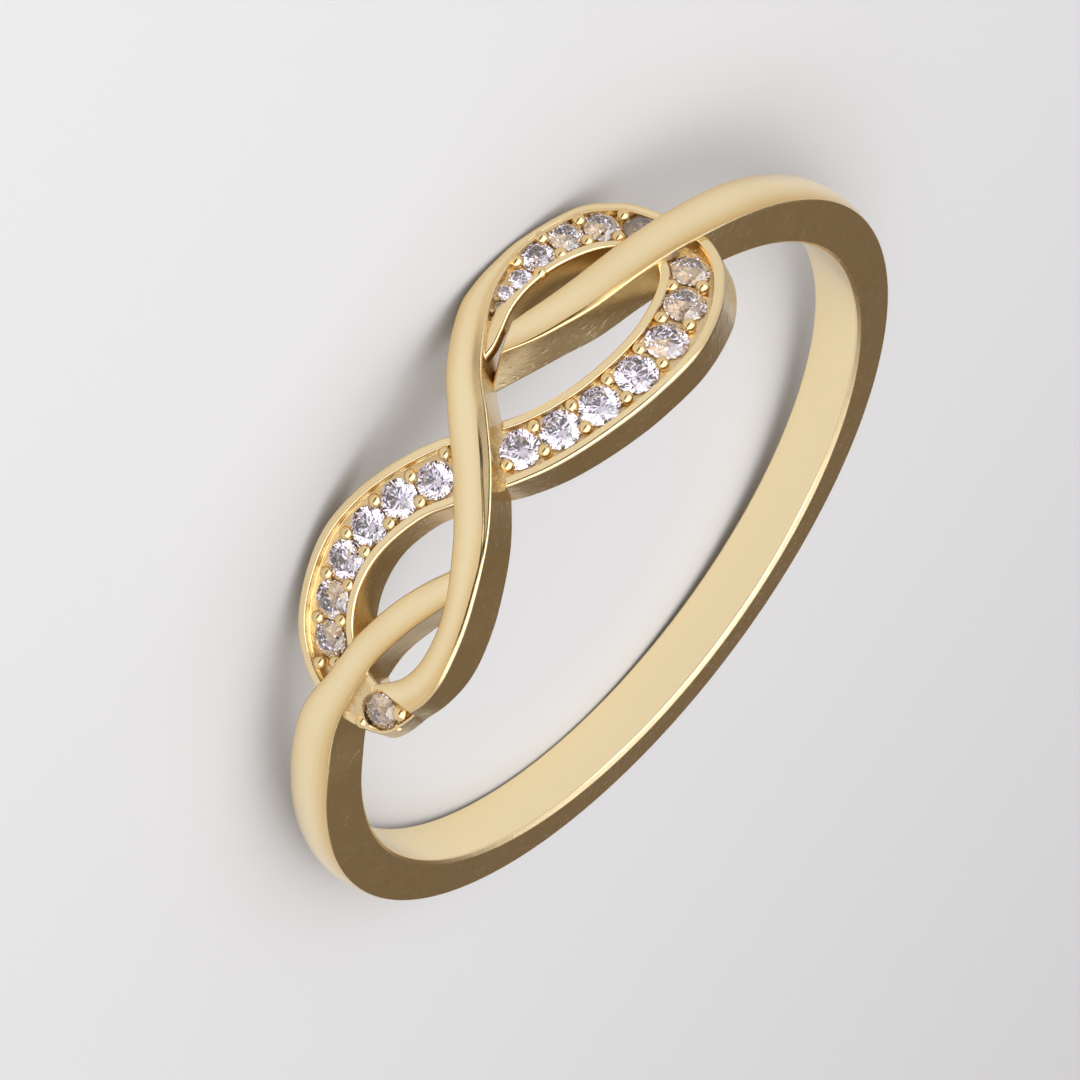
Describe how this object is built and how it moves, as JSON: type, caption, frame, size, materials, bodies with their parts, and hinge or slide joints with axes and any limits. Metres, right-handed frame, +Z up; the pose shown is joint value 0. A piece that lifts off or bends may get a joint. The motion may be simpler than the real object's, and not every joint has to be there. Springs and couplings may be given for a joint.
{
  "type": "infinity ring",
  "caption": "Slim finger ring whose band ends cross a pierced figure-eight head, one arm plain and domed, the other a bead-set row of round stones.",
  "frame": {"origin": "on the surface the ring lies on, below the middle of the finger bore", "axes": "+Z up from that surface, close to the finger bore's axis; the head faces -Y and +X runs along the head"},
  "size_m": [0.0198, 0.0199, 0.0052],
  "materials": {
    "gold": "polished",
    "stone": "polished"
  },
  "bodies": {
    "root": {"casting": "gold", "stone_r1": "stone", "stone_r2": "stone", "stone_r3": "stone", "stone_r4": "stone", "stone_r5": "stone", "stone_r6": "stone", "stone_r7": "stone", "stone_n1": "stone", "stone_n2": "stone", "stone_n3": "stone", "stone_n4": "stone", "stone_n5": "stone", "stone_n6": "stone", "stone_n7": "stone", "stone_f1": "stone", "stone_f2": "stone", "stone_f3": "stone", "stone_f4": "stone", "stone_f5": "stone", "stone_f6": "stone", "stone_f7": "stone", "stone_f8": "stone"}
  },
  "joints": []
}
